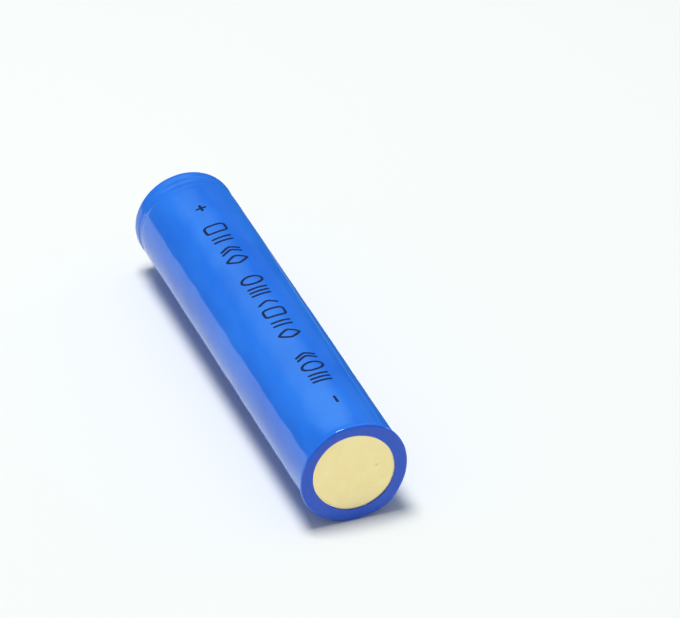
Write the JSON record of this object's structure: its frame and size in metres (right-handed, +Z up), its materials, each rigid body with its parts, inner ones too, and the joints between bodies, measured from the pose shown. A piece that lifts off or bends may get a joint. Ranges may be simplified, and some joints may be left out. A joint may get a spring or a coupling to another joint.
{
  "type": "cylindrical battery cell",
  "caption": "Slim cylindrical lithium-ion battery cell in a glossy blue shrink sleeve, with flat metal terminals at its ends and its full internal build.",
  "frame": {"origin": "on the surface the cell lies on, under the middle of its length", "axes": "+Y along the cell's axis towards the positive end, +Z up, the cell lying on its side"},
  "size_m": [0.0146, 0.065, 0.0146],
  "materials": {
    "shrink_sleeve": "blue shrink film, glossy",
    "insulating_washer": "white calendered paper",
    "steel_can": "nickel-plated steel, warm satin",
    "top_cap": "nickel-plated pressed steel, satin",
    "ptc_washer": "filled polymer between thin metal faces",
    "vent_disc": "soft aluminium, satin",
    "cid_insulator": "natural polypropylene",
    "cid_plate": "pierced aluminium, satin",
    "header_gasket": "natural polypropylene",
    "upper_insulator": "thin fibre-filled polymer",
    "lower_insulator": "thin fibre-filled polymer",
    "separator_inner": "microporous film",
    "separator_outer": "microporous film",
    "anode_foil": "rolled copper foil",
    "anode_coating_inner": "pressed graphite",
    "anode_coating_outer": "pressed graphite",
    "cathode_foil": "rolled aluminium foil",
    "cathode_coating_inner": "pressed metal oxide",
    "cathode_coating_outer": "pressed metal oxide",
    "positive_tab": "aluminium strip",
    "negative_tab": "nickel strip",
    "positive_tab_tape": "amber film tape",
    "negative_tab_tape": "amber film tape",
    "closing_tape": "green film tape"
  },
  "bodies": {
    "root": {"shrink_sleeve": "shrink_sleeve", "insulating_washer": "insulating_washer", "steel_can": "steel_can", "top_cap": "top_cap", "ptc_washer": "ptc_washer", "vent_disc": "vent_disc", "cid_insulator": "cid_insulator", "cid_plate": "cid_plate", "header_gasket": "header_gasket", "upper_insulator": "upper_insulator", "lower_insulator": "lower_insulator", "separator_inner": "separator_inner", "separator_outer": "separator_outer", "anode_foil": "anode_foil", "anode_coating_inner": "anode_coating_inner", "anode_coating_outer": "anode_coating_outer", "cathode_foil": "cathode_foil", "cathode_coating_inner": "cathode_coating_inner", "cathode_coating_outer": "cathode_coating_outer", "positive_tab": "positive_tab", "negative_tab": "negative_tab", "positive_tab_tape": "positive_tab_tape", "negative_tab_tape": "negative_tab_tape", "closing_tape": "closing_tape"}
  },
  "joints": []
}
